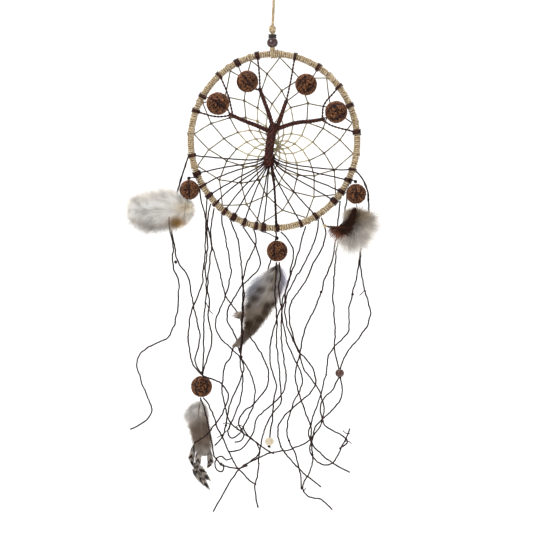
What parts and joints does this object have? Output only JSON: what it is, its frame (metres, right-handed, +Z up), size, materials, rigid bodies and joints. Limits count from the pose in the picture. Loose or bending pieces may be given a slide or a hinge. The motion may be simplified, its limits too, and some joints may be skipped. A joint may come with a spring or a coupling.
{
  "type": "dream catcher",
  "caption": "Hanging dream catcher: jute-wrapped oval hoop with a thread web, a twisted-cord tree with seeds, and a fringe of knotted cords, feathers and beads.",
  "frame": {"origin": "where a nail touches the inside of the hanging loop, at the top of the object", "axes": "+Z up along the hanging cord, -Y out of the front face, +X to the right seen from the front"},
  "size_m": [0.2508, 0.04, 0.5456],
  "materials": {
    "jute_cord": "matt two-ply jute",
    "waxed_cord": "satin waxed cotton",
    "web_cord": "matt linen thread",
    "hoop_wood": "plain cane",
    "lacquered_wood": "gloss lacquer",
    "dark_wood": "satin",
    "brown_wood": "satin",
    "pale_wood": "satin",
    "seed_shell": "satin, oiled seed shell",
    "pale_plume": "soft plume",
    "brown_plume": "soft plume",
    "barred_plume": "soft plume"
  },
  "bodies": {
    "cord": {"hanging_cord": "jute_cord", "hanging_loop": "jute_cord"},
    "top_bead": {"top_bead": "lacquered_wood"},
    "spacer_discs": {"spacer_discs": "dark_wood"},
    "hoop": {"bead_tail_left": "waxed_cord", "bead_tail_right": "waxed_cord", "branch_far_left": "waxed_cord", "branch_far_right": "waxed_cord", "branch_left": "waxed_cord", "branch_right": "waxed_cord", "brown_bead": "brown_wood", "brown_feather": "brown_plume", "canopy_twigs": "waxed_cord", "cord_knots": "waxed_cord", "fringe_behind_feather": "waxed_cord", "fringe_left_cross": "waxed_cord", "fringe_left_hook": "waxed_cord", "fringe_left_long": "waxed_cord", "fringe_left_round_seed": "waxed_cord", "fringe_left_seed_inner": "waxed_cord", "fringe_left_seed_middle": "waxed_cord", "fringe_left_seed_outer": "waxed_cord", "fringe_left_short": "waxed_cord", "fringe_left_tail": "waxed_cord", "fringe_left_zigzag": "waxed_cord", "fringe_natural_bead": "waxed_cord", "fringe_right_bead_inner": "waxed_cord", "fringe_right_bead_outer": "waxed_cord", "fringe_right_diagonal": "waxed_cord", "fringe_right_hook": "waxed_cord", "fringe_right_long": "waxed_cord", "fringe_right_sweep_left": "waxed_cord", "fringe_right_to_left": "waxed_cord", "hoop_core": "hoop_wood", "hoop_lashing": "jute_cord", "hoop_ties": "waxed_cord", "hoop_wrap": "jute_cord", "natural_bead": "pale_wood", "root_cords": "waxed_cord", "seed_hangers": "waxed_cord", "tree_trunk": "waxed_cord", "web_net": "web_cord"},
    "canopy_seed_far_left": {"canopy_seed_far_left": "seed_shell"},
    "canopy_seed_left": {"canopy_seed_left": "seed_shell"},
    "canopy_seed_right": {"canopy_seed_right": "seed_shell"},
    "canopy_seed_far_right": {"canopy_seed_far_right": "seed_shell"},
    "left_pendant": {"left_seed": "seed_shell", "white_feather": "pale_plume"},
    "right_pendant": {"right_seed": "seed_shell", "grey_feather": "pale_plume"},
    "centre_pendant": {"centre_seed": "seed_shell", "centre_feather": "pale_plume", "centre_tail_left": "waxed_cord", "centre_tail_right": "waxed_cord"},
    "lower_pendant": {"lower_seed": "seed_shell", "lower_feather": "barred_plume", "seed_tail_left": "waxed_cord", "seed_tail_right": "waxed_cord", "curl_ring": "waxed_cord"}
  },
  "joints": [
    {"name": "top_bead_spin", "type": "hinge", "parent": "cord", "child": "top_bead", "pos_m": [-0.0016, 0, -0.062], "axis": [0, 0, 1], "continuous": true},
    {"name": "spacer_discs_spin", "type": "hinge", "parent": "cord", "child": "spacer_discs", "pos_m": [-0.0016, 0, -0.062], "axis": [0, 0, 1], "continuous": true},
    {"name": "hoop_turn", "type": "hinge", "parent": "cord", "child": "hoop", "pos_m": [-0.0016, 0, -0.078], "axis": [0, 0, 1], "range_deg": [-180, 180]},
    {"name": "canopy_seed_far_left_spin", "type": "hinge", "parent": "hoop", "child": "canopy_seed_far_left", "pos_m": [-0.056, -0.0098, -0.134], "axis": [-0.8363, 0, 0.5482], "continuous": true},
    {"name": "canopy_seed_left_spin", "type": "hinge", "parent": "hoop", "child": "canopy_seed_left", "pos_m": [-0.0265, -0.0098, -0.112], "axis": [-0.6365, 0, 0.7713], "continuous": true},
    {"name": "canopy_seed_right_spin", "type": "hinge", "parent": "hoop", "child": "canopy_seed_right", "pos_m": [0.032, -0.0098, -0.115], "axis": [0.6811, 0, 0.7322], "continuous": true},
    {"name": "canopy_seed_far_right_spin", "type": "hinge", "parent": "hoop", "child": "canopy_seed_far_right", "pos_m": [0.062, -0.0098, -0.1425], "axis": [0.8885, 0, 0.4589], "continuous": true},
    {"name": "left_pendant_swing", "type": "hinge", "parent": "hoop", "child": "left_pendant", "pos_m": [-0.085, -0.006, -0.2082], "axis": [0, 1, 0], "range_deg": [-2, 15]},
    {"name": "right_pendant_swing", "type": "hinge", "parent": "hoop", "child": "right_pendant", "pos_m": [0.0813, -0.006, -0.2118], "axis": [0, 1, 0], "range_deg": [-15, 4]},
    {"name": "centre_pendant_swing", "type": "hinge", "parent": "hoop", "child": "centre_pendant", "pos_m": [0.003, 0, -0.2682], "axis": [0, 1, 0], "range_deg": [-10, 10]},
    {"name": "lower_pendant_swing", "type": "hinge", "parent": "hoop", "child": "lower_pendant", "pos_m": [-0.072, 0, -0.4033], "axis": [0, 1, 0], "range_deg": [-12, 12]}
  ]
}
